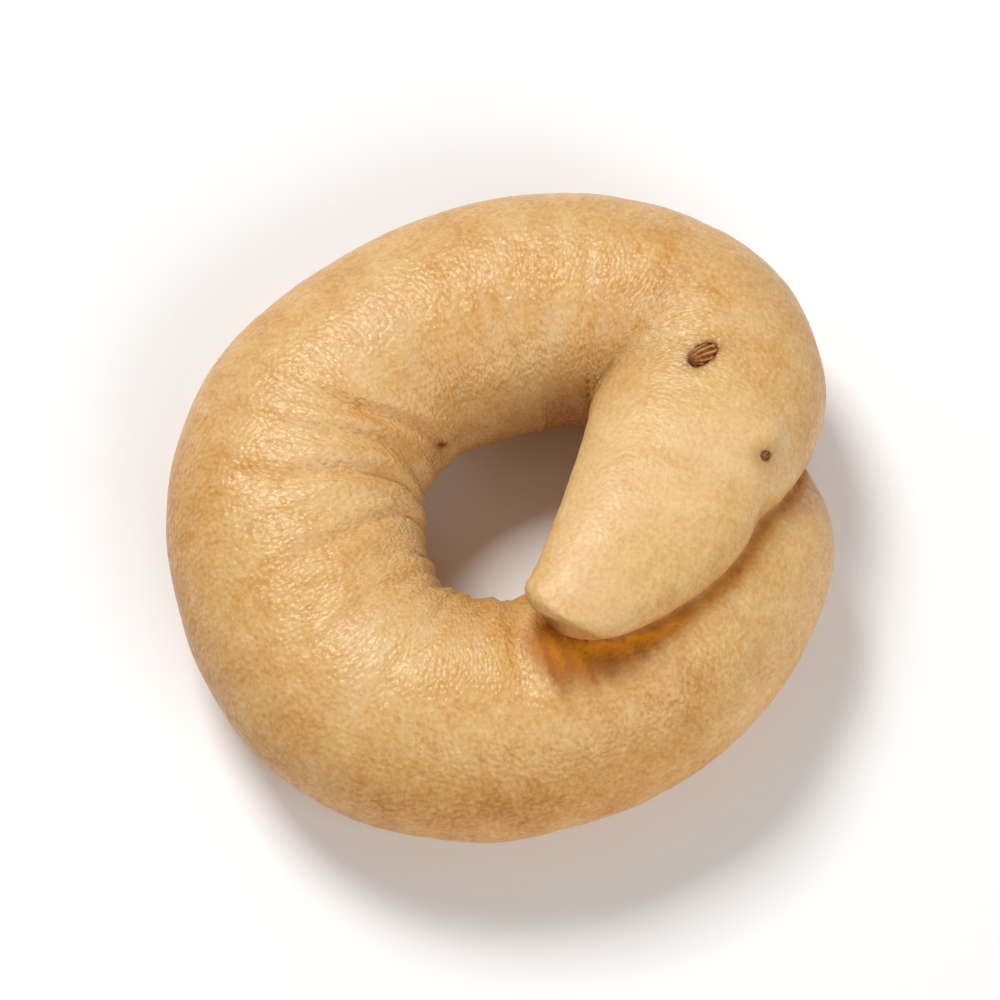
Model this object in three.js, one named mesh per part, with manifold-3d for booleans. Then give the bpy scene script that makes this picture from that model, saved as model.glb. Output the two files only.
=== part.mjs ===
// A tarallo: a ring-shaped southern Italian dry bread with fennel seeds in its dough.
//
// One roll of dough is bent clockwise into a ring, a turn and a third long. The thin end it starts with
// lies on the tray. The other end climbs over that one and ends in a flat tongue, which reaches across
// the ring to the rim of its hole. Baking has fused the crossing into one solid and left a flat foot
// where the dough lay on the tray. Fennel seeds sit in the skin, each in a pocket of its own.
//
// Millimetres, +Z up. The origin is on the surface that the ring lies on, under the middle of its box.
// -Y is the side that the tongue points to.

import * as THREE from "three";
import { mergeVertices } from "three/addons/utils/BufferGeometryUtils.js";
import Module from "manifold-3d";

const wasm = await Module();
wasm.setup();

// Driving dimensions.
const RING_RADIUS = 18.6; // from the middle of the ring to the middle of the roll
const ROLL_HALF_WIDTH = 10.5;
const ROLL_HALF_HEIGHT = 9.9;
const FOOT_CUT = 1.1; // how much of the roll's underside the tray has flattened away
const SEED_LENGTH = 5.2;
const SEED_RADIUS = 0.95;
const POCKET_GAP = 0.3; // between a seed and the dough round it

// How finely the roll and the seeds are divided.
const HALF_ROLL_STEPS = 48;
const ROLL_SIDES = 24;
const END_SHARE = 0.02; // the share of the roll's length that each round end takes
const GENTLE_TURN = 0.06; // the share of the roll's length, each way, that sets the way along it
const SEED_STEPS = 8;
const SEED_SIDES = 8;

const ROLL_HEIGHT_ABOVE_TRAY = ROLL_HALF_HEIGHT - FOOT_CUT;

const doughSkin = new THREE.MeshStandardMaterial({ color: 0xdcb27c, roughness: 0.5, metalness: 0 });
const seedHusk = new THREE.MeshStandardMaterial({ color: 0x7a4f1e, roughness: 0.7, metalness: 0 });

// The roll from its lower end to the tip of its tongue. At each station: the turn round the ring in
// degrees from +X, then shares of RING_RADIUS, ROLL_HALF_WIDTH and ROLL_HALF_HEIGHT for its distance
// from the ring's middle, half width and half height, and the lift of its centre in millimetres above
// where it runs on the tray.
const STATIONS = [
  { turn: 36, reach: 1.19, width: 0.33, height: 0.32, lift: -4.3 },
  { turn: 10, reach: 1.07, width: 0.71, height: 0.63, lift: -2.8 },
  { turn: -9, reach: 1.04, width: 0.93, height: 0.85, lift: -0.8 },
  { turn: -38, reach: 1.0, width: 0.96, height: 0.98, lift: 0 },
  { turn: -71, reach: 0.98, width: 0.97, height: 0.99, lift: 0 },
  { turn: -103, reach: 1.02, width: 1.01, height: 1.0, lift: 0 },
  { turn: -134, reach: 1.03, width: 1.03, height: 1.0, lift: 0 },
  { turn: -168, reach: 0.96, width: 1.05, height: 1.01, lift: 0 },
  { turn: -201, reach: 0.95, width: 1.02, height: 1.0, lift: 0 },
  { turn: -235, reach: 0.92, width: 0.97, height: 0.97, lift: 0 },
  { turn: -268, reach: 0.98, width: 0.99, height: 0.98, lift: 0 },
  { turn: -295, reach: 1.12, width: 0.98, height: 1.0, lift: 0.2 },
  { turn: -315, reach: 1.19, width: 0.99, height: 1.0, lift: 0.8 },
  { turn: -332, reach: 1.1, width: 0.97, height: 0.94, lift: 2.6 },
  { turn: -344, reach: 0.93, width: 0.9, height: 0.78, lift: 5.3 },
  { turn: -357, reach: 0.81, width: 0.81, height: 0.58, lift: 8.2 },
  { turn: -381, reach: 0.715, width: 0.73, height: 0.45, lift: 10 },
  { turn: -408, reach: 0.7, width: 0.56, height: 0.34, lift: 11.6 },
  { turn: -427, reach: 0.74, width: 0.4, height: 0.25, lift: 12.3 },
  { turn: -437, reach: 0.775, width: 0.3, height: 0.2, lift: 12.7 },
];

// Where each seed sits: its station along the roll, counted with parts of a station, the angle round
// the roll from its outer side over the top to its inner side, how deep its middle lies under the
// skin, its heading in the skin from the roll's length, and how steeply its first end dips.
const SEEDS = [
  { at: 13.5, around: 91, depth: 0.8, heading: 140, dip: 18 },
  { at: 14.38, around: 41, depth: 1.08, heading: 175, dip: 14 },
  { at: 9.0, around: 162, depth: 0.92, heading: 0, dip: 12 },
  { at: 7.2, around: -34, depth: 0.6, heading: 35, dip: 8 },
  { at: 10.4, around: 6, depth: 0.65, heading: -50, dip: 10 },
  { at: 4.5, around: 190, depth: 0.6, heading: 20, dip: 14 },
];

// The stations as two smooth curves with one parameter: the roll's middle line, and its half width and
// half height. A curve's plain parameter passes through each station at an even share.
const middleLine = new THREE.CatmullRomCurve3(
  STATIONS.map((s) => {
    const turn = THREE.MathUtils.degToRad(s.turn);
    const reach = s.reach * RING_RADIUS;
    return new THREE.Vector3(Math.cos(turn) * reach, Math.sin(turn) * reach, ROLL_HEIGHT_ABOVE_TRAY + s.lift);
  }),
  false,
  "catmullrom",
);
const halfSizes = new THREE.CatmullRomCurve3(
  STATIONS.map((s) => new THREE.Vector3(s.width * ROLL_HALF_WIDTH, s.height * ROLL_HALF_HEIGHT, 0)),
  false,
  "catmullrom",
);

// The roll's cross-section at a share of its length: its middle, the ways along, outward and up, and
// its half sizes. The way along is taken over a stretch of the middle line, so that the sections turn
// gently where it bends sharply and don't cross inside the bend. The path turns clockwise, so outward
// is to the left of the way along.
function sectionAt(share) {
  const behind = middleLine.getPoint(Math.max(0, share - GENTLE_TURN));
  const ahead = middleLine.getPoint(Math.min(1, share + GENTLE_TURN));
  const along = ahead.sub(behind).normalize();
  const outward = new THREE.Vector3(-along.y, along.x, 0).normalize();
  const up = new THREE.Vector3().crossVectors(outward, along).negate();
  const half = halfSizes.getPoint(share);
  return { middle: middleLine.getPoint(share), along, outward, up, halfWidth: half.x, halfHeight: half.y };
}

// The radius of a straight roll one unit long, at a share of its length: one, and round at its ends.
function roundEndedRadius(share) {
  const fromNearerEnd = Math.min(1, Math.min(share, 1 - share) / END_SHARE);
  return Math.sqrt(1 - (1 - fromNearerEnd) ** 2);
}

// The stretch of that straight roll between two shares of its length, closed at both of them.
function straightRoll(from, to) {
  const outline = [new THREE.Vector2(0, from)];
  for (let i = 0; i <= HALF_ROLL_STEPS; i += 1) {
    const share = THREE.MathUtils.lerp(from, to, i / HALF_ROLL_STEPS);
    outline.push(new THREE.Vector2(roundEndedRadius(share), share));
  }
  outline.push(new THREE.Vector2(0, to));
  return new THREE.LatheGeometry(outline, ROLL_SIDES);
}

// The geometry's closed surface as a solid, with each point taken once and collapsed faces left out.
function solidOf(geometry) {
  const bare = new THREE.BufferGeometry();
  bare.setAttribute("position", geometry.getAttribute("position"));
  bare.setIndex(geometry.getIndex());
  const merged = mergeVertices(bare, 1e-4);
  const faces = [];
  const index = merged.getIndex().array;
  for (let i = 0; i < index.length; i += 3) {
    const [a, b, c] = index.slice(i, i + 3);
    if (a !== b && b !== c && c !== a) faces.push(a, b, c);
  }
  const vertProperties = merged.getAttribute("position").array;
  return new wasm.Manifold(new wasm.Mesh({ numProp: 3, vertProperties, triVerts: new Uint32Array(faces) }));
}

// A solid as a three.js geometry.
function geometryOf(solid) {
  const mesh = solid.getMesh();
  const geometry = new THREE.BufferGeometry();
  geometry.setAttribute("position", new THREE.BufferAttribute(mesh.vertProperties, mesh.numProp));
  geometry.setIndex(new THREE.BufferAttribute(mesh.triVerts, 1));
  geometry.computeVertexNormals();
  return geometry;
}

// The straight roll wrapped along the middle line: each point keeps its share of the length and its
// place in the cross-section, which takes the half width outward and the half height up. The lathe's
// +Z goes down, so that its faces still point out.
function bentRoll(from, to) {
  const geometry = straightRoll(from, to);
  const points = geometry.getAttribute("position");
  const point = new THREE.Vector3();
  for (let i = 0; i < points.count; i += 1) {
    point.fromBufferAttribute(points, i);
    const section = sectionAt(point.y);
    const placed = section.middle
      .addScaledVector(section.outward, point.x * section.halfWidth)
      .addScaledVector(section.up, -point.z * section.halfHeight);
    points.setXYZ(i, placed.x, placed.y, placed.z);
  }
  return geometry;
}

// A seed: a spindle turned about its length, along +X.
function seedGeometry(growth) {
  const outline = [];
  for (let i = 0; i <= SEED_STEPS; i += 1) {
    const angle = (Math.PI * i) / SEED_STEPS;
    const radius = (SEED_RADIUS + growth) * Math.sin(angle);
    outline.push(new THREE.Vector2(radius, (-Math.cos(angle) * (SEED_LENGTH + 2 * growth)) / 2));
  }
  return new THREE.LatheGeometry(outline, SEED_SIDES).rotateZ(-Math.PI / 2);
}

// The place and turn of a seed in the skin: on the section's ellipse at its angle, sunk by its depth,
// headed in the skin and then dipped into it.
function seedPlacement(seed) {
  const section = sectionAt(seed.at / (STATIONS.length - 1));
  const around = THREE.MathUtils.degToRad(seed.around);
  const across = Math.cos(around);
  const rise = Math.sin(around);
  const normal = new THREE.Vector3()
    .addScaledVector(section.outward, across / section.halfWidth)
    .addScaledVector(section.up, rise / section.halfHeight)
    .normalize();
  const place = section.middle
    .clone()
    .addScaledVector(section.outward, across * section.halfWidth)
    .addScaledVector(section.up, rise * section.halfHeight)
    .addScaledVector(normal, -seed.depth);
  const heading = THREE.MathUtils.degToRad(seed.heading);
  const dip = THREE.MathUtils.degToRad(seed.dip);
  const length = section.along.clone().applyAxisAngle(normal, heading);
  const side = new THREE.Vector3().crossVectors(normal, length).normalize();
  length.applyAxisAngle(side, dip);
  const top = new THREE.Vector3().crossVectors(length, side);
  return new THREE.Matrix4().makeBasis(length, side, top).setPosition(place);
}

// The whole dough: the two halves of the bent roll, fused where they meet and where the ends cross, with
// the foot cut flat and a pocket for each seed.
function doughSolid(placements) {
  const reach = 4 * RING_RADIUS;
  const belowTray = new THREE.BoxGeometry(reach, reach, RING_RADIUS).translate(0, 0, -RING_RADIUS / 2);
  let dough = solidOf(bentRoll(0, 0.5)).add(solidOf(bentRoll(0.5, 1))).subtract(solidOf(belowTray));
  for (const placement of placements) {
    dough = dough.subtract(solidOf(seedGeometry(POCKET_GAP).applyMatrix4(placement)));
  }
  return dough;
}

const placements = SEEDS.map(seedPlacement);
const tarallo = new THREE.Group();

const doughRing = new THREE.Mesh(geometryOf(doughSolid(placements)), doughSkin);
doughRing.name = "dough_ring";
tarallo.add(doughRing);

placements.forEach((placement, i) => {
  const seed = new THREE.Mesh(seedGeometry(0), seedHusk);
  seed.name = `fennel_seed_${i + 1}`;
  seed.applyMatrix4(placement);
  tarallo.add(seed);
});

// The middle of the whole tarallo's box goes to the origin, in plan.
const middle = new THREE.Box3().setFromObject(tarallo, true).getCenter(new THREE.Vector3());
tarallo.position.set(-middle.x, -middle.y, 0);

export default tarallo;
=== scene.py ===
"""A tarallo, a ring-shaped southern Italian dry bread with fennel seeds, finished round its CAD model.

The dough is one roll bent into a ring, with its end lying over its start as a flat tongue. Its skin is
worked out as a section carried along a path, fused where it crosses itself, wrinkled and then cut for the
seeds. Lengths inside the functions are in millimetres, and every mesh is written in metres.
"""

import math

import bpy
import numpy as np
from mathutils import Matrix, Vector


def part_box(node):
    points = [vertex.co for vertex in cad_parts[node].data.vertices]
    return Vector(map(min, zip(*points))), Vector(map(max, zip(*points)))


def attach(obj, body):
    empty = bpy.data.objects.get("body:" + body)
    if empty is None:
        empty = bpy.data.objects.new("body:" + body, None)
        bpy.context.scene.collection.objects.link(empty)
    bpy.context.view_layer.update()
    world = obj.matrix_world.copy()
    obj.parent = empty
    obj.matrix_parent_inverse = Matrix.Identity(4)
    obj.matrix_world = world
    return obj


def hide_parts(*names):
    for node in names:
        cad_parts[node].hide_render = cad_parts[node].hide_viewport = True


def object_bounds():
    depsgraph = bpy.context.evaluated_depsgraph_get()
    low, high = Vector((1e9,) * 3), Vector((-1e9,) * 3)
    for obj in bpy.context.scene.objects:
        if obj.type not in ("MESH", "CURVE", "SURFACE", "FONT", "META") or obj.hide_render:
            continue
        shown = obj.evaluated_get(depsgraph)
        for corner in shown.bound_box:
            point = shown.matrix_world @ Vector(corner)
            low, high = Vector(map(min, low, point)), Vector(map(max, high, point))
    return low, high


MM = 0.001

# The roll, from its lower end to the tip of its tongue, as the CAD model has it. Each station gives the turn
# round the ring in degrees, then the distance from the ring's middle, the half width and the half height as
# shares of the three sizes below, and the lift of the roll's middle above where it runs on the tray.
RING_RADIUS = 18.6
ROLL_HALF_WIDTH = 10.5
ROLL_HALF_HEIGHT = 9.9
FOOT_CUT = 1.1
GENTLE_TURN = 0.06
END_SHARE = 0.02
STATIONS = np.array(
    [
        (36, 1.19, 0.33, 0.32, -4.3),
        (10, 1.07, 0.71, 0.63, -2.8),
        (-9, 1.04, 0.93, 0.85, -0.8),
        (-38, 1.0, 0.96, 0.98, 0),
        (-71, 0.98, 0.97, 0.99, 0),
        (-103, 1.02, 1.01, 1.0, 0),
        (-134, 1.03, 1.03, 1.0, 0),
        (-168, 0.96, 1.05, 1.01, 0),
        (-201, 0.95, 1.02, 1.0, 0),
        (-235, 0.92, 0.97, 0.97, 0),
        (-268, 0.98, 0.99, 0.98, 0),
        (-295, 1.12, 0.98, 1.0, 0.2),
        (-315, 1.19, 0.99, 1.0, 0.8),
        (-332, 1.1, 0.97, 0.94, 2.6),
        (-344, 0.93, 0.9, 0.78, 5.3),
        (-357, 0.81, 0.81, 0.58, 8.2),
        (-381, 0.715, 0.73, 0.45, 10),
        (-408, 0.7, 0.56, 0.34, 11.6),
        (-427, 0.74, 0.4, 0.25, 12.3),
        (-437, 0.775, 0.3, 0.2, 12.7),
    ]
)
LAST_STATION = len(STATIONS) - 1

VOXEL = 0.362  # how finely the fused skin is divided

# Stretches of the roll, as the stations that they begin and end at: where the tongue's skin turns calm,
# where its crust turns pale, where its underside gets painted shade, and where its end is pinched off.
CALM_STRETCH = (13.6, 15.4)
PALE_STRETCH = (13.4, 15.0)
SHADED_STRETCH = (14, 15)
PINCHED_STRETCH = (16.5, 17.5)

# Folds that run across the roll: each is a row of stations at the angles FOLD_ANGLES, and a depth.
FOLD_ANGLES = (165, 145, 125, 105, 85, 65, 45)
FOLDS = [
    (8.75, 8.6, 8.35, 8.15, 8.05, 8.1, 8.1, 0.5),
    (7.55, 7.62, 7.52, 7.4, 7.3, 7.38, 7.5, 0.55),
    (7.12, 7.05, 6.85, 6.7, 6.65, 6.6, 6.6, 0.3),
    (8.15, 8.1, 7.95, 7.8, 7.75, 7.75, 7.75, 0.26),
    (9.3, 9.3, 9.25, 9.2, 9.2, 9.2, 9.2, 0.2),
    (6.1, 6.1, 6.05, 6.05, 6.0, 6.0, 6.0, 0.2),
    (5.4, 5.35, 5.35, 5.4, 5.45, 5.5, 5.5, 0.2),
    (10.1, 10.05, 10.0, 9.95, 9.9, 9.9, 9.9, 0.18),
    (11.2, 11.1, 11.0, 10.95, 10.9, 10.9, 10.9, 0.2),
    (4.3, 4.35, 4.4, 4.4, 4.4, 4.4, 4.4, 0.2),
]
FOLD_WIDTH = 0.65

# Places pressed in or raised: station, angle, width along the roll, width round it, and height.
DENTS_AND_SWELLINGS = [
    (4.36, 94, 2.2, 4.0, -0.4),
    (3.95, 96, 2.2, 3.6, 0.2),
    (4.8, 96, 2.4, 3.8, 0.2),
    (12.95, 88, 2.2, 3.2, 0.36),
    (14.4, 47, 2.4, 2.2, 0.72),
    (15.08, 3, 2.3, 2.6, -0.6),
    (9.2, 158, 3.2, 1.5, 0.25),
    (9.1, 60, 4.0, 5.0, -0.3),
    (2.6, 40, 4.5, 5.0, -0.25),
]

# Places baked browner, or paler where it is below 0: station, angle, widths along and round the roll,
# and how much.
TOASTED = [
    (5.9, 40, 0.6, 2.2, 0.15),
    (6.3, 30, 0.6, 1.8, 0.12),
    (3.3, 55, 0.7, 2.4, 0.14),
    (2.9, 40, 0.8, 2.0, 0.1),
    (7.4, 75, 0.5, 3.5, 0.15),
    (8.2, 110, 0.5, 4.0, 0.15),
    (9.6, 80, 0.9, 1.6, 0.2),
    (2.6, 80, 0.7, 1.8, 0.1),
    (11.3, 200, 12.0, 5.0, 0.32),
    (4.4, 28, 9.0, 5.0, 0.26),
    (6.9, 0, 12.0, 6.0, 0.2),
    (11.9, 96, 6.0, 6.0, 0.28),
    (15.4, 110, 6.0, 6.0, 0.12),
    (7.0, 145, 7.0, 5.0, -0.2),
    (2.6, 50, 7.0, 7.0, -0.24),
    (5.6, 40, 5.0, 6.0, -0.12),
]

# Notches in the inner rim, and the angle that it is at: station and depth.
RIM_ANGLE = 172
RIM_NOTCHES = [
    (6.44, 0.6),
    (5.75, 0.35),
    (5.37, 0.52),
    (4.95, 0.56),
    (4.46, 0.48),
    (7.1, 0.4),
    (8.0, 0.4),
    (10.4, 0.25),
]

# The groove where the roll meets itself.
GROOVE_DEPTH = 0.6
GROOVE_WIDTH = 0.45

# The slanting cut that ends the tongue: a place on it, the way out of it, and how round its edge is.
TONGUE_CUT_PLACE = (4.0, -13.6, 21.5)
TONGUE_CUT_AWAY = (-0.41, -0.91, -0.15)
TONGUE_CUT_ROUNDING = 0.45

# How far the painted shadow of the crossing, a deep brown, spreads over the lower roll: station and reach.
SHADE_REACHES = [(2.2, 0.7), (3.0, 0.9), (3.5, 1.9), (3.95, 3.1), (4.2, 2.2)]
# The golden colours of the painted shadow run this far from the crease before its dark brown.
PAINTED_SHADOW_GOLD_REACH = 1.4  # how far from the crease the crossing's golden colours run before the dark brown

FAR = 99.0  # stands for a gap where the roll crosses nothing

SEEDS = [f"fennel_seed_{n}" for n in range(1, 7)]
RIBS = 10
SEED_FULLNESS = 0.8  # the power that makes a seed's ends blunter than a sine
POCKET_GAP = 0.02  # between a seed and the dough round it
POCKET_EDGE_ANGLE = 60  # edges of the dough that turn by more than this stay sharp
STAIN_REACH = 0.75  # how far a seed's stain spreads in the dough round it

rng = np.random.default_rng(7)


# ---------------------------------------------------------------------------------------------------------
# Small tools
# ---------------------------------------------------------------------------------------------------------


def unit(vectors):
    """Each vector divided by its own length."""
    return vectors / np.linalg.norm(vectors, axis=-1, keepdims=True)


def ease(low, high, value):
    """0 below low and 1 above high, and between them the smooth curve 3t^2 - 2t^3."""
    t = np.clip((value - low) / (high - low), 0, 1)
    return t * t * (3 - 2 * t)


def bump_of(distance, width):
    """A bell: e to the power of minus the square of distance over width."""
    return np.exp(-((distance / width) ** 2))


def soft_noise(points, sizes, lattice=48):
    """Smooth noise from -1 to 1: random values on a lattice with these spacings, each point blending the
    eight values round it with the curve 6t^5 - 15t^4 + 10t^3 along each axis."""
    values = rng.uniform(-1, 1, (lattice, lattice, lattice))
    scaled = points / np.asarray(sizes, float)
    corner = np.floor(scaled).astype(int)
    t = scaled - corner
    t = t * t * t * (t * (6 * t - 15) + 10)
    total = np.zeros(len(points))
    for i in (0, 1):
        for j in (0, 1):
            for k in (0, 1):
                weight = np.prod(np.where([i, j, k], t, 1 - t), axis=1)
                x, y, z = ((corner + [i, j, k]) % lattice).T
                total += weight * values[x, y, z]
    return total


def smooth_curve(points, share):
    """The uniform Catmull-Rom curve through evenly shared points, with each end carried on in a straight
    line: half of 2b + (c - a)t + (2a - 5b + 4c - d)t^2 + (3b - a - 3c + d)t^3 between b and c."""
    padded = np.vstack([2 * points[0] - points[1], points, 2 * points[-1] - points[-2]])
    place = np.clip(share, 0, 1) * (len(points) - 1)
    start = np.minimum(place.astype(int), len(points) - 2)
    t = (place - start)[..., None]
    a, b, c, d = (padded[start + n] for n in range(4))
    return 0.5 * (2 * b + (c - a) * t + (2 * a - 5 * b + 4 * c - d) * t**2 + (3 * b - a - 3 * c + d) * t**3)


def mesh_from(name, points, faces):
    """A mesh in metres from points in millimetres and a list of faces."""
    mesh = bpy.data.meshes.new(name)
    mesh.from_pydata((points * MM).tolist(), [], faces)
    mesh.update()
    return mesh


def points_of(mesh):
    """A mesh's points in millimetres."""
    points = np.empty(len(mesh.vertices) * 3)
    mesh.vertices.foreach_get("co", points)
    return points.reshape(-1, 3) / MM


def normals_of(mesh):
    """A mesh's normals at its points."""
    normals = np.empty(len(mesh.vertices) * 3)
    mesh.vertex_normals.foreach_get("vector", normals)
    return normals.reshape(-1, 3)


def put_points(mesh, points):
    """Writes points in millimetres back into a mesh."""
    mesh.vertices.foreach_set("co", (points * MM).ravel())
    mesh.update()


def put_value(mesh, name, values):
    """Stores one number for each point as an attribute."""
    mesh.attributes.new(name, "FLOAT", "POINT").data.foreach_set("value", values.astype(np.float32))


def put_vector(mesh, name, vectors):
    """Stores one vector for each point as an attribute."""
    attribute = mesh.attributes.new(name, "FLOAT_VECTOR", "POINT")
    attribute.data.foreach_set("vector", vectors.astype(np.float32).ravel())


def edges_of(mesh):
    """The two points that each edge of a mesh joins, as rows."""
    ends = np.empty(len(mesh.edges) * 2, np.int32)
    mesh.edges.foreach_get("vertices", ends)
    return ends.reshape(-1, 2)


def evened(edges, values, share, rounds):
    """Values at a mesh's points, each moved by a share of the way to the average of its neighbours, and
    again for each round."""
    one_end, other_end = edges.T
    values = values.reshape(len(share), -1).copy()
    neighbours = np.bincount(edges.ravel(), minlength=len(share))
    for _ in range(rounds):
        for column in values.T:
            total = np.bincount(one_end, column[other_end], len(share))
            total += np.bincount(other_end, column[one_end], len(share))
            column += share * (total / neighbours - column)
    return values.squeeze()


def place_piece(name, mesh, material):
    """An object at the origin for a finished mesh, smooth shaded, with its material."""
    piece = bpy.data.objects.new(name, mesh)
    bpy.context.scene.collection.objects.link(piece)
    mesh.materials.clear()
    mesh.materials.append(material)
    mesh.shade_smooth()
    return piece


def with_modifiers(mesh, *modifiers):
    """The mesh after these modifiers, each given as its type and its settings."""
    carrier = bpy.data.objects.new("carrier", mesh)
    bpy.context.scene.collection.objects.link(carrier)
    for kind, settings in modifiers:
        modifier = carrier.modifiers.new(kind.lower(), kind)
        for name, value in settings.items():
            setattr(modifier, name, value)
    finished = bpy.data.meshes.new_from_object(carrier.evaluated_get(bpy.context.evaluated_depsgraph_get()))
    bpy.data.objects.remove(carrier)
    return finished


def closed_tube(rows):
    """A tube's points and faces from rows of points, with a fan closing each end on the row's middle."""
    count, sides = rows.shape[:2]
    points = np.vstack([rows.reshape(-1, 3), rows[0].mean(0), rows[-1].mean(0)])
    row = np.arange(count - 1)[:, None] * sides
    side = np.arange(sides)[None, :]
    following = (side + 1) % sides
    corners = (row + side, row + following, row + sides + following, row + sides + side)
    quads = np.stack([np.broadcast_to(c, (count - 1, sides)) for c in corners], axis=-1).reshape(-1, 4)
    side, following = side[0], following[0]
    first, last = count * sides, count * sides + 1
    end = (count - 1) * sides
    start_fan = np.stack([np.full(sides, first), following, side], axis=-1)
    end_fan = np.stack([np.full(sides, last), end + side, end + following], axis=-1)
    return points, quads.tolist() + start_fan.tolist() + end_fan.tolist()


# ---------------------------------------------------------------------------------------------------------
# The roll
# ---------------------------------------------------------------------------------------------------------


def roll_sections(share):
    """The roll's sections at shares of its length: middle, ways along, outward and up, and half sizes.
    The way along is the straight line between two points of the path a little behind and ahead."""
    turn = np.radians(STATIONS[:, 0])
    reach = STATIONS[:, 1] * RING_RADIUS
    height = ROLL_HALF_HEIGHT - FOOT_CUT + STATIONS[:, 4]
    path = np.column_stack([np.cos(turn) * reach, np.sin(turn) * reach, height])
    halves = STATIONS[:, 2:4] * [ROLL_HALF_WIDTH, ROLL_HALF_HEIGHT]
    ahead = smooth_curve(path, np.minimum(share + GENTLE_TURN, 1))
    behind = smooth_curve(path, np.maximum(share - GENTLE_TURN, 0))
    along = unit(ahead - behind)
    outward = unit(np.column_stack([-along[:, 1], along[:, 0], np.zeros(len(along))]))
    up = -np.cross(outward, along)
    return smooth_curve(path, share), along, outward, up, smooth_curve(halves, share)


def roll_rows(first, last, steps=280, sides=220):
    """The roll's plain skin between two shares of its length: at each step the section's ellipse, middle
    + outward * half width * cos(angle) + up * half height * sin(angle), drawn in to a half circle at both
    ends of the roll."""
    share = np.linspace(first, last, steps)
    middle, _, outward, up, half = roll_sections(share)
    from_end = np.clip(np.minimum(share, 1 - share) / END_SHARE, 0, 1)
    half = half * np.sqrt(1 - (1 - from_end) ** 2)[:, None]
    angle = np.linspace(0, 2 * np.pi, sides, endpoint=False)
    across = outward[:, None] * (half[:, None, :1] * np.cos(angle)[None, :, None])
    rise = up[:, None] * (half[:, None, 1:] * np.sin(angle)[None, :, None])
    return middle[:, None] + across + rise


def combined(mesh, other, operation, *modifiers):
    """The mesh joined with another or cut by it, as the operation says, and then finished by modifiers."""
    tool = bpy.data.objects.new("tool", other)
    bpy.context.scene.collection.objects.link(tool)
    settings = {"operation": operation, "solver": "MANIFOLD", "object": tool}
    made = with_modifiers(mesh, ("BOOLEAN", settings), *modifiers)
    bpy.data.objects.remove(tool)
    return made


def fused_roll():
    """The roll as one even skin, its two halves fused where they cross, standing where the CAD roll does."""
    lower, upper = (mesh_from("half_roll", *closed_tube(roll_rows(*ends))) for ends in ((0, 0.5), (0.5, 1)))
    fused = combined(
        lower,
        upper,
        "UNION",
        ("REMESH", {"mode": "VOXEL", "voxel_size": VOXEL * MM, "adaptivity": 0}),
        ("SMOOTH", {"factor": 0.5, "iterations": 4}),
    )
    points = points_of(fused)
    low, high = (np.array(corner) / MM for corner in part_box("dough_ring"))
    shift = (low + high - points.min(0) - points.max(0)) / 2 * [1, 1, 0]
    put_points(fused, points + shift)
    return fused, shift


class RollMap:
    """Where each point of the skin sits on the roll. The nearest of many sections is the one whose ellipse
    passes closest to the point. From it come the station, the distance along the roll, the angle, which is
    0 on the outer side, 90 on top, 180 on the inner side and 270 underneath, and the place that the point
    would have on the roll laid straight. The gap is the distance to the other roll at the crossing."""

    def __init__(self, points, shift, sections=801, coarse_step=8, batch=20000):
        share = np.linspace(0, 1, sections)
        middle, along, outward, up, half = roll_sections(share)
        middle = middle + shift
        length = np.concatenate([[0], np.cumsum(np.linalg.norm(np.diff(middle, axis=0), axis=1))])
        coarse = np.arange(0, sections, coarse_step)
        nearby = np.arange(-coarse_step, coarse_step + 1)

        def seen_from(some, which):
            away = some[:, None] - middle[which]
            ways = [np.sum(away * way[which], axis=-1) for way in (along, outward, up)]
            size = half[which]
            off_skin = (np.hypot(ways[1] / size[..., 0], ways[2] / size[..., 1]) - 1) * size.min(axis=-1)
            return ways, np.hypot(ways[0], off_skin)

        found = []
        for start in range(0, len(points), batch):
            some = points[start : start + batch]
            row = np.arange(len(some))
            nearest = []
            for stretch in np.array_split(coarse, 2):
                _, distance = seen_from(some, stretch[None])
                which = np.clip(stretch[np.argmin(distance, axis=1)][:, None] + nearby, 0, sections - 1)
                ways, distance = seen_from(some, which)
                column = np.argmin(distance, axis=1)
                picked = [values[row, column] for values in (which, *ways, distance)]
                nearest.append(np.column_stack(picked))
            nearest = np.stack(nearest)
            own = np.argmin(nearest[:, :, 4], axis=0)
            mine, other = nearest[own, row], nearest[1 - own, row]
            apart = np.abs(mine[:, 0] - other[:, 0]) > 0.35 * sections
            found.append(np.column_stack([mine[:, :4], np.where(apart, other[:, 4], FAR)]))
        best, forward, across, rise, self.gap = np.concatenate(found).T
        best = best.astype(int)
        self.length = length[best] + forward
        self.station = np.interp(self.length, length, share) * LAST_STATION
        self.angle = np.degrees(np.arctan2(rise / half[best, 1], across / half[best, 0])) % 360
        self.straight = np.column_stack([self.length, across, rise])
        self.per_station = length[-1] / LAST_STATION

    def from_angle(self, angle):
        """How many degrees round the roll each point is from this angle."""
        return np.abs((self.angle - angle + 180) % 360 - 180)

    def spot(self, station, angle, along_width, around_width):
        """A bell centred on this station and angle, with these widths in millimetres."""
        along = (self.station - station) * self.per_station / along_width
        around = np.radians(self.from_angle(angle)) * ROLL_HALF_WIDTH / around_width
        return np.exp(-(along**2) - around**2)


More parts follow.
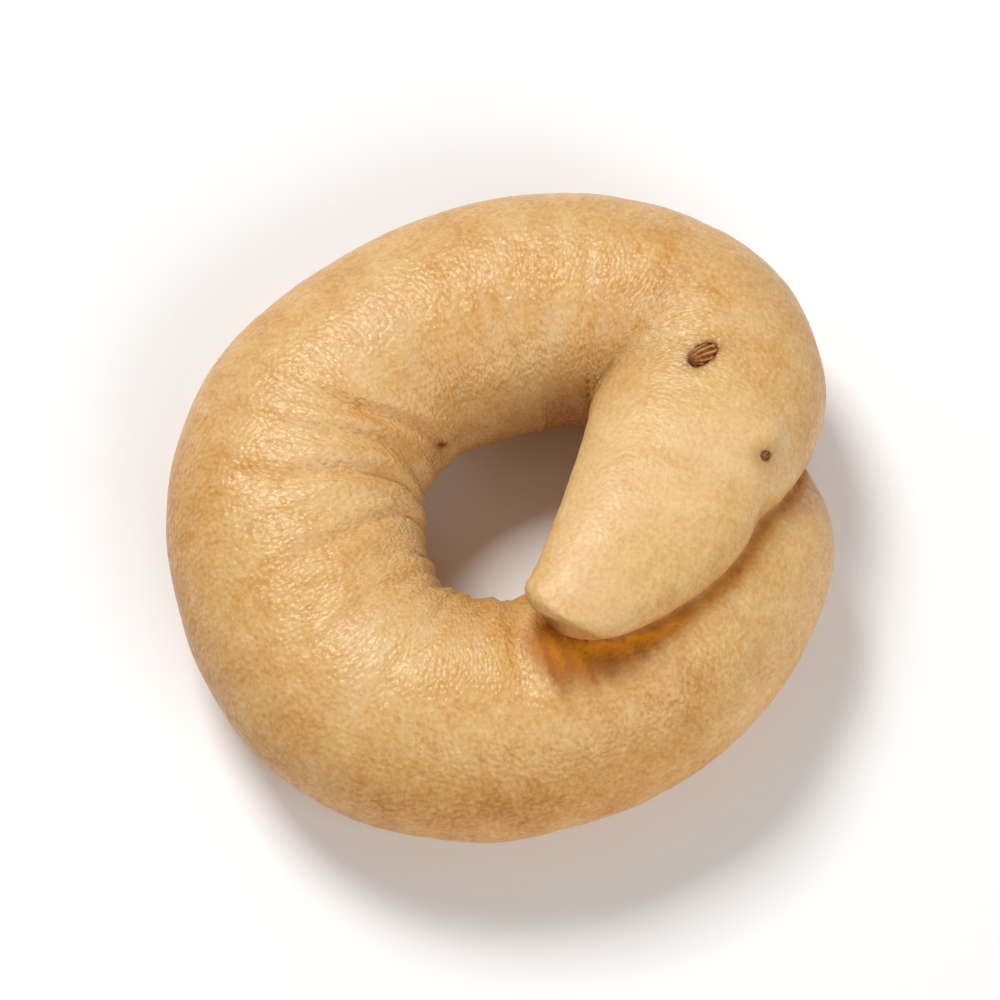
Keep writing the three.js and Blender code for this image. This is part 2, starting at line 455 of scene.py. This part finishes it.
def skin_relief(roll, points):
    """How far the baked skin stands out from the plain roll, in millimetres: the sum of broad lumps, folds
    across the roll, puckers at the inner rim, fine creases, and the dents and swellings. The tongue is the
    calmest stretch."""
    tongue = ease(*CALM_STRETCH, roll.station)
    inner = bump_of(roll.from_angle(175), 42)
    top = bump_of(roll.from_angle(95), 62)
    lively = (1 - 0.75 * tongue) * ease(0.3, 2.5, roll.gap)

    relief = 0.26 * soft_noise(points, (15, 15, 15)) + 0.15 * soft_noise(points, (6.5, 6.5, 6.5)) * lively
    relief += 0.28 * inner * lively * soft_noise(roll.straight, (3.4, 14, 14))
    relief += 0.13 * inner * lively * soft_noise(roll.straight, (1.5, 9, 9))
    relief += 0.06 * top * lively * soft_noise(roll.straight, (2.1, 6, 6))
    relief += 0.04 * lively * soft_noise(roll.straight, (1.0, 2.6, 2.6))

    sharp = 1 - np.abs(soft_noise(roll.straight, (3.6, 13, 13)))
    relief -= 0.14 * sharp**9 * lively * (0.3 + 0.7 * inner)

    reach = 1.25 * bump_of(roll.from_angle(122), 44) * lively
    for *stations, depth in FOLDS:
        middle = np.interp(-roll.angle, [-angle for angle in FOLD_ANGLES], stations)
        off = (roll.station - middle) * roll.per_station
        swollen = bump_of(off - 2.2 * FOLD_WIDTH, 1.5 * FOLD_WIDTH)
        swollen += bump_of(off + 2.2 * FOLD_WIDTH, 1.5 * FOLD_WIDTH)
        relief += depth * reach * (0.5 * swollen - bump_of(off, FOLD_WIDTH))

    for station, angle, along_width, around_width, height in DENTS_AND_SWELLINGS:
        relief += height * roll.spot(station, angle, along_width, around_width)
    for station, depth in RIM_NOTCHES:
        relief -= depth * roll.spot(station, RIM_ANGLE, 0.6, 4.0)
    return relief - GROOVE_DEPTH * bump_of(roll.gap, GROOVE_WIDTH)


def seed_rows(length, radius, growth, rows=40, sides=60):
    """A fennel seed along +X: x = -cos(t) * half the length, with a radius that follows sin(t) to the power
    SEED_FULLNESS, swells into ribs round the seed, and has a middle line that sags a little toward -Z. With
    a growth it is the pocket's smooth shape, that much larger."""
    t = np.linspace(0.02, np.pi - 0.02, rows)[:, None]
    angle = np.linspace(0, 2 * np.pi, sides, endpoint=False)[None, :]
    rib = (0.5 + 0.5 * np.cos(RIBS * angle)) ** 1.5
    ribbed = 0.88 + 0.12 * rib if growth == 0 else 1
    spindle = (radius + growth) * np.sin(t) ** SEED_FULLNESS * ribbed
    x = -np.cos(t) * (length / 2 + growth) + 0 * angle
    z = spindle * np.sin(angle) - 0.1 * radius * np.cos(t) ** 2
    return np.stack([x, spindle * np.cos(angle), z], axis=-1), rib * np.sin(t)


def seed_frame(node):
    """Where a CAD seed lies: its middle, its three ways as rows, the first along it, its length and its
    radius. The ways are the directions in which its points spread most and least."""
    points = points_of(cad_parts[node].data)
    middle = (points.min(0) + points.max(0)) / 2
    _, _, ways = np.linalg.svd(points - points.mean(0), full_matrices=False)
    ways[2] = np.cross(ways[0], ways[1])
    along = (points - middle) @ ways[0]
    radius = np.linalg.norm((points - middle) - along[:, None] * ways[0], axis=1).max()
    return middle, ways, np.ptp(along), radius


def seed_mesh(node, growth=0.0):
    """A seed's mesh where the CAD seed lies, with the height of its ribs stored as an attribute."""
    middle, ways, length, radius = seed_frame(node)
    rows, rib = seed_rows(length, radius, growth)
    points, faces = closed_tube(rows)
    mesh = mesh_from(node, middle + points @ ways, faces)
    put_value(mesh, "rib", np.append(rib.ravel(), [0, 0]))
    return mesh


def joined(meshes):
    """Several meshes as one."""
    all_points, all_faces, count = [], [], 0
    for mesh in meshes:
        points = points_of(mesh)
        all_faces += [[corner + count for corner in face.vertices] for face in mesh.polygons]
        all_points.append(points)
        count += len(points)
    return mesh_from("joined", np.vstack(all_points), all_faces)


def pinched_end(points, roll, shift):
    """The points with the tongue's end pinched off flat, at a slant to the roll: how far a point stands
    past the cut, p, becomes p - r * log(1 + e^(p / r)), which rounds the cut's edge with radius r. The
    cut fades out where the tongue meets the roll under it."""
    away = unit(np.array(TONGUE_CUT_AWAY))
    past = (points - TONGUE_CUT_PLACE - shift) @ away / TONGUE_CUT_ROUNDING
    pressed = TONGUE_CUT_ROUNDING * np.logaddexp(0, past)
    pressed *= ease(*PINCHED_STRETCH, roll.station) * ease(0.3, 2.0, roll.gap)
    return points - pressed[:, None] * away


def dough_mesh():
    """The baked dough: the fused roll, evened out where it crosses itself, wrinkled along its normals, set
    flat on the tray and cut for each seed, with what its finish depends on stored as attributes."""
    skin, shift = fused_roll()
    points = points_of(skin)
    edges = edges_of(skin)
    roll = RollMap(points, shift)
    seam = 0.5 * (1 - ease(0.15, 0.9, roll.gap))
    put_points(skin, evened(edges, points, seam, 14))
    outward = unit(evened(edges, normals_of(skin), seam, 12))
    points = points_of(skin) + outward * skin_relief(roll, points)[:, None]
    points = pinched_end(points, roll, shift)
    points[:, 2] = np.maximum(points[:, 2], 0)
    put_points(skin, points)

    cut = combined(skin, joined([seed_mesh(node, POCKET_GAP) for node in SEEDS]), "DIFFERENCE")
    points = points_of(cut)
    roll = RollMap(points, shift)
    edges = edges_of(cut)
    seam = 0.5 * (1 - ease(0.3, 1.5, roll.gap))
    put_vector(cut, "straight_roll", roll.straight)
    put_value(cut, "tone", evened(edges, baked_tone(roll, points), seam, 6))
    put_value(cut, "calm", np.maximum(ease(*CALM_STRETCH, roll.station), 1 - ease(0.3, 1.6, roll.gap)))
    put_value(cut, "foot", 1 - ease(0.02, 0.5, points[:, 2]))
    put_value(cut, "painted_sheen", top_sheen_patches(roll))
    pocket, stain = near_seeds(points)
    put_value(cut, "pocket", pocket)
    put_value(cut, "stain", stain)
    # Painted shadow at the crossing: how much of it each point takes, and which of its colours, from the gap
    # to the crease.
    put_value(cut, "shade", evened(edges, painted_crossing_shadow(roll), seam, 6))
    streaked_gap = roll.gap * (1 + 0.4 * soft_noise(roll.straight, (0.5, 7, 7)))
    put_value(cut, "under", bump_of(streaked_gap, PAINTED_SHADOW_GOLD_REACH))
    return cut


def near_seeds(points):
    """Two shares for each point. The first is 1 on the walls of the seeds' pockets and 0 on the open skin.
    The second is the stain that a seed leaves in the dough round it, a bell of the distance to the seed."""
    off_wall = np.full(len(points), np.inf)
    off_seed = np.full(len(points), np.inf)
    for node in SEEDS:
        middle, ways, length, radius = seed_frame(node)
        along, across, rise = ((points - middle) @ ways.T).T
        share = np.clip(np.abs(along) / (length / 2 + POCKET_GAP), 0, 1)
        wall = (radius + POCKET_GAP) * np.sin(np.arccos(share)) ** SEED_FULLNESS
        outside = np.abs(along) - length / 2 + 0.5 * radius
        from_axis = np.hypot(across, rise)
        off_wall = np.minimum(off_wall, np.where(share < 1, from_axis - wall, np.inf))
        off_seed = np.minimum(off_seed, np.hypot(from_axis, np.maximum(outside, 0)) - 0.8 * radius)
    return 1 - ease(0.02, 0.2, off_wall), bump_of(np.maximum(off_seed, 0), STAIN_REACH)


def top_sheen_patches(roll):
    """Where the top of the roll gets pale patches of painted sheen: patches of smooth noise that
    run across the roll, cut off below their middle."""
    patches = 0.6 * soft_noise(roll.straight, (3.0, 5, 5)) + 0.5 * soft_noise(roll.straight, (1.1, 2.4, 2.4))
    return bump_of(roll.from_angle(105), 45) * ease(-0.4, 0.9, patches)


def painted_crossing_shadow(roll):
    """How much painted shadow of the crossing, in deep browns, a point takes: a flat-topped bell of the gap
    on the lower roll, frayed by streaks across it and widest under the tip, and another on the tongue's
    underside."""
    reach = np.interp(roll.station, *zip(*SHADE_REACHES))
    reach *= 1 + 0.2 * soft_noise(roll.straight, (0.5, 7, 7)) + 0.1 * soft_noise(roll.straight, (1.6, 9, 9))
    on_lower_roll = np.exp(-((roll.gap / reach) ** 5)) * (1 - ease(9, 11, roll.station))
    underneath = bump_of(roll.from_angle(270), 62) * ease(*SHADED_STRETCH, roll.station)
    return on_lower_roll + underneath * np.exp(-((roll.gap / 3.0) ** 4))


def baked_tone(roll, points):
    """How brown the crust is, from 0 to 1: more on the outer flank toward the tray and on the wall of the
    hole, less on the tongue, and in patches everywhere, with painted shade making it browner in the
    crossing's crease."""
    outer_low = bump_of(roll.from_angle(-25), 60)
    wall = bump_of(roll.from_angle(190), 40)
    tongue = ease(*PALE_STRETCH, roll.station)
    # Painted shade: the crust is made browner near the crossing's crease, where shade falls.
    crease = np.exp(-roll.gap / 2.2)
    patches = 0.08 * soft_noise(points, (9, 9, 9)) + 0.07 * soft_noise(points, (3.2, 3.2, 3.2))
    streaks = 0.06 * soft_noise(roll.straight, (2.2, 9, 9))
    tone = 0.38 + 0.2 * outer_low + 0.04 * wall + patches + streaks * (1 - tongue) - 0.22 * tongue
    for station, angle, along_width, around_width, amount in TOASTED:
        tone += amount * roll.spot(station, angle, along_width, around_width)
    return np.clip(tone + 0.3 * crease, 0, 1)


# ---------------------------------------------------------------------------------------------------------
# Finishes
# ---------------------------------------------------------------------------------------------------------


def colour(red, green, blue):
    """A colour given from 0 to 255 on a screen, as the shader's linear value: ((c + 0.055) / 1.055)^2.4."""
    shares = np.array([red, green, blue]) / 255
    linear = np.where(shares <= 0.04045, shares / 12.92, ((shares + 0.055) / 1.055) ** 2.4)
    return (*linear.tolist(), 1.0)


class Finish:
    """A material with its shader, and short ways to add and join the nodes that feed it."""

    def __init__(self, name, **settings):
        self.material = bpy.data.materials.new(name)
        self.material.use_nodes = True
        self.tree = self.material.node_tree
        self.shader = self.tree.nodes["Principled BSDF"]
        for socket, value in settings.items():
            self.shader.inputs[socket.replace("_", " ").title().replace("Ior", "IOR")].default_value = value

    def node(self, kind, inputs=None, **settings):
        """A node with these settings. An input is a value, or another node's output to join to it."""
        node = self.tree.nodes.new("ShaderNode" + kind)
        for name, value in settings.items():
            setattr(node, name, value)
        for key, value in (inputs or {}).items():
            self.feed(node.inputs[key], value)
        return node

    def feed(self, socket, value):
        if isinstance(value, bpy.types.NodeSocket):
            self.tree.links.new(value, socket)
        else:
            socket.default_value = value

    def attribute(self, name):
        node = self.node("Attribute", attribute_name=name)
        return node.outputs["Fac"], node.outputs["Vector"]

    def noise(self, where, scale, detail=3.0, roughness=0.55):
        """Fractal noise from 0 to 1 at a scale for each unit of where."""
        inputs = {"Vector": where, "Scale": scale, "Detail": detail, "Roughness": roughness}
        return self.node("TexNoise", inputs).outputs["Fac"]

    def stretched(self, where, x, y, z):
        """The same place with its three axes scaled."""
        return self.node("Mapping", {"Vector": where, "Scale": (x, y, z)}).outputs["Vector"]

    def ranged(self, value, low, high, to_low, to_high):
        """The value carried from one range to another and held inside it."""
        inputs = {"Value": value, "From Min": low, "From Max": high, "To Min": to_low, "To Max": to_high}
        return self.node("MapRange", inputs).outputs["Result"]

    def math(self, operation, first, second, clamp=False):
        node = self.node("Math", {0: first, 1: second}, operation=operation, use_clamp=clamp)
        return node.outputs["Value"]

    def blended(self, share, first, second, blend_type="MIX"):
        """Two colours mixed by a share."""
        node = self.node("Mix", data_type="RGBA", blend_type=blend_type)
        colour_inputs = [socket for socket in node.inputs if socket.type == "RGBA"]
        self.feed(node.inputs["Factor"], share)
        self.feed(colour_inputs[0], first)
        self.feed(colour_inputs[1], second)
        return next(socket for socket in node.outputs if socket.type == "RGBA")

    def ramp(self, value, stops):
        """A colour for a value from 0 to 1, blended between these stops."""
        node = self.node("ValToRGB", {"Fac": value})
        ramp = node.color_ramp
        while len(ramp.elements) < len(stops):
            ramp.elements.new(0.5)
        for element, (position, stop) in zip(ramp.elements, stops):
            element.position = position
            element.color = stop
        return node.outputs["Color"]

    def bump(self, height, strength, distance, below=None):
        """Normals bent by a height field, whose full range stands this far out of the skin."""
        inputs = {"Height": height, "Strength": strength, "Distance": distance}
        if below is not None:
            inputs["Normal"] = below
        return self.node("Bump", inputs).outputs["Normal"]


def dough_finish():
    """Baked dough: a satin crust from pale straw to golden brown, mottled and faintly streaked across the
    roll, with pale patches of painted sheen on top, painted shadow at the crossing, painted shade on the
    seeds' pocket walls, stains round the seeds, and gloss broken up by tiny pimples, which are flatter on
    the matter tongue."""
    finish = Finish("baked_dough", ior=1.45, subsurface_weight=0.1, subsurface_scale=0.0012)
    finish.shader.inputs["Subsurface Radius"].default_value = (0.8, 0.45, 0.2)
    place = finish.node("TexCoord").outputs["Object"]
    _, straight = finish.attribute("straight_roll")
    tone, _ = finish.attribute("tone")
    calm, _ = finish.attribute("calm")
    foot, _ = finish.attribute("foot")
    pocket, _ = finish.attribute("pocket")

    mottle = finish.noise(place, 600, 4)
    speckle = finish.noise(place, 2400, 2)
    streaks = finish.noise(finish.stretched(straight, 1.2, 0.3, 0.3), 1.0, 3)
    mixed = finish.math("ADD", tone, finish.ranged(mottle, 0.3, 0.7, -0.1, 0.1))
    streaks = finish.ranged(streaks, 0.3, 0.7, -0.05, 0.05)
    streaks = finish.math("MULTIPLY", streaks, finish.math("SUBTRACT", 1, calm))
    mixed = finish.math("ADD", mixed, streaks)
    mixed = finish.math("ADD", mixed, finish.ranged(speckle, 0.35, 0.65, -0.09, 0.09), clamp=True)
    crust = finish.ramp(
        mixed,
        [
            (0.0, colour(240, 203, 147)),
            (0.25, colour(230, 188, 126)),
            (0.5, colour(219, 167, 97)),
            (0.75, colour(202, 139, 59)),
            (1.0, colour(166, 94, 22)),
        ],
    )
    # Painted sheen: pale patches on top of the roll stand in for the crust's glints.
    painted_sheen, _ = finish.attribute("painted_sheen")
    crust = finish.blended(finish.math("MULTIPLY", painted_sheen, 0.4), crust, colour(236, 206, 164))
    crust = finish.blended(foot, crust, colour(205, 150, 88))
    shade, _ = finish.attribute("shade")
    stain, _ = finish.attribute("stain")
    under, _ = finish.attribute("under")
    # Painted shadow of the crossing: golden near the crease, dark brown farther out and darkest in the
    # crease itself, mixed in by the shade attribute.
    crossing = finish.ramp(
        under,
        [
            (0.0, colour(146, 80, 0)),
            (0.4, colour(186, 110, 2)),
            (0.8, colour(224, 144, 8)),
            (1.0, colour(140, 70, 0)),
        ],
    )
    crust = finish.blended(shade, crust, crossing)
    crust = finish.blended(finish.math("MULTIPLY", stain, 0.5), crust, colour(170, 132, 58))
    # Painted shade: the walls of the seeds' pockets are dark brown, the shade in the gap round each seed.
    crust = finish.blended(pocket, crust, colour(120, 66, 18))
    finish.feed(finish.shader.inputs["Base Color"], crust)

    gloss = finish.noise(finish.stretched(straight, 1.3, 0.5, 0.5), 1.0, 3)
    roughness = finish.ranged(gloss, 0.3, 0.7, 0.28, 0.46)
    roughness = finish.math("ADD", roughness, finish.math("MULTIPLY", calm, 0.1))
    roughness = finish.math("ADD", roughness, finish.math("MULTIPLY", shade, 0.4))
    finish.feed(finish.shader.inputs["Roughness"], roughness)

    grain = finish.noise(place, 2100, 1.5, 0.5)
    cells = {"Vector": finish.stretched(straight, 2.9, 1.9, 1.9), "Scale": 1.0, "Smoothness": 0.6}
    pimples = finish.node("TexVoronoi", cells, feature="SMOOTH_F1").outputs["Distance"]
    grained = finish.bump(grain, 0.8, 0.00012)
    pimpled = finish.bump(pimples, finish.ranged(calm, 0, 1, 0.9, 0.2), -0.00014, below=grained)
    finish.feed(finish.shader.inputs["Normal"], pimpled)
    return finish.material


def husk_finish():
    """Fennel seed husk: dry brown furrows between paler ribs, with a fine grain along the seed."""
    finish = Finish("fennel_husk", roughness=0.6)
    place = finish.node("TexCoord").outputs["Object"]
    rib, _ = finish.attribute("rib")
    grain = finish.noise(place, 2600, 3)
    shade = finish.math("ADD", rib, finish.ranged(grain, 0.3, 0.7, -0.3, 0.3), clamp=True)
    husk = finish.ramp(
        shade,
        [
            (0.0, colour(116, 58, 10)),
            (0.5, colour(174, 106, 36)),
            (1.0, colour(222, 168, 106)),
        ],
    )
    finish.feed(finish.shader.inputs["Base Color"], husk)
    finish.feed(finish.shader.inputs["Normal"], finish.bump(grain, 0.5, 0.00008))
    return finish.material


# ---------------------------------------------------------------------------------------------------------
# The studio
# ---------------------------------------------------------------------------------------------------------

FLOOR_WIDTH = 4.0
LENS = 180.0
CAMERA_ELEVATION = 70.0
FRAME_WIDTH = 0.086  # the width of what the camera sees at the tarallo
SURROUND_COLOUR = (1.0, 0.985, 0.96, 1)
SURROUND_STRENGTH = 0.23

# Each soft light: its name, the direction it stands in, its distance, its width and its power.
SOFT_LIGHTS = [
    ("window_light", (-0.32, 0.5, 0.82), 0.6, 0.2, 2.65),
    ("front_fill", (0.42, -0.62, 0.58), 0.7, 0.5, 2.4),
]


def pale_floor():
    """A wide white floor that the tarallo lies on."""
    half = FLOOR_WIDTH / 2 / MM
    corners = np.array([(-half, -half, 0), (half, -half, 0), (half, half, 0), (-half, half, 0)], float)
    finish = Finish("white_floor", base_color=(0.97, 0.97, 0.97, 1), roughness=0.6)
    floor = place_piece("floor", mesh_from("floor", corners, [(0, 1, 2, 3)]), finish.material)


def soft_light(name, direction, distance, width, power, target):
    """A square soft light at a distance along a direction from the target, turned to face it."""
    data = bpy.data.lights.new(name, "AREA")
    data.shape = "SQUARE"
    data.size = width
    data.energy = power
    light = bpy.data.objects.new(name, data)
    bpy.context.scene.collection.objects.link(light)
    way = Vector(direction).normalized()
    light.location = target + way * distance
    light.rotation_euler = way.to_track_quat("Z", "Y").to_euler()


def studio():
    """A white surround, a small soft light high behind the ring to its left, and a broad, lower one in front
    of it to its right."""
    scene = bpy.context.scene
    scene.view_settings.view_transform = "Standard"
    world = bpy.data.worlds.new("white_surround")
    world.use_nodes = True
    background = world.node_tree.nodes["Background"]
    background.inputs["Color"].default_value = SURROUND_COLOUR
    background.inputs["Strength"].default_value = SURROUND_STRENGTH
    scene.world = world
    target = (cad_low + cad_high) / 2
    for name, direction, distance, width, power in SOFT_LIGHTS:
        soft_light(name, direction, distance, width, power, target)


def camera():
    """A long lens looking down on the ring at a steep angle, centred on it."""
    data = bpy.data.cameras.new("camera")
    data.lens = LENS
    scene = bpy.context.scene
    scene.camera = bpy.data.objects.new("camera", data)
    scene.collection.objects.link(scene.camera)
    target = (cad_low + cad_high) / 2
    elevation = math.radians(CAMERA_ELEVATION)
    back = Vector((0, -math.cos(elevation), math.sin(elevation)))
    scene.camera.location = target + back * (FRAME_WIDTH * LENS / data.sensor_width)
    scene.camera.rotation_euler = back.to_track_quat("Z", "Y").to_euler()


# ---------------------------------------------------------------------------------------------------------
# The tarallo
# ---------------------------------------------------------------------------------------------------------

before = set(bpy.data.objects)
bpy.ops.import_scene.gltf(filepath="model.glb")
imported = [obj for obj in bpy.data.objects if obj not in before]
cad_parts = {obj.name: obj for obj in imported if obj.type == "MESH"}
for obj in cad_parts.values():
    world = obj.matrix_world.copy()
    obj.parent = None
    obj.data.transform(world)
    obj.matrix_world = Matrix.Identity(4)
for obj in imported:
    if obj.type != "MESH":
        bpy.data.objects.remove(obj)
cad_low, cad_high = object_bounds()

dough = place_piece("baked_dough_ring", dough_mesh(), dough_finish())
dough.data.set_sharp_from_angle(angle=math.radians(POCKET_EDGE_ANGLE))
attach(dough, "root")
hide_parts("dough_ring")

husk = husk_finish()
for node in SEEDS:
    seed = place_piece(f"ribbed_{node}", seed_mesh(node), husk)
    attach(seed, "root")
    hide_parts(node)

pale_floor()
studio()
camera()
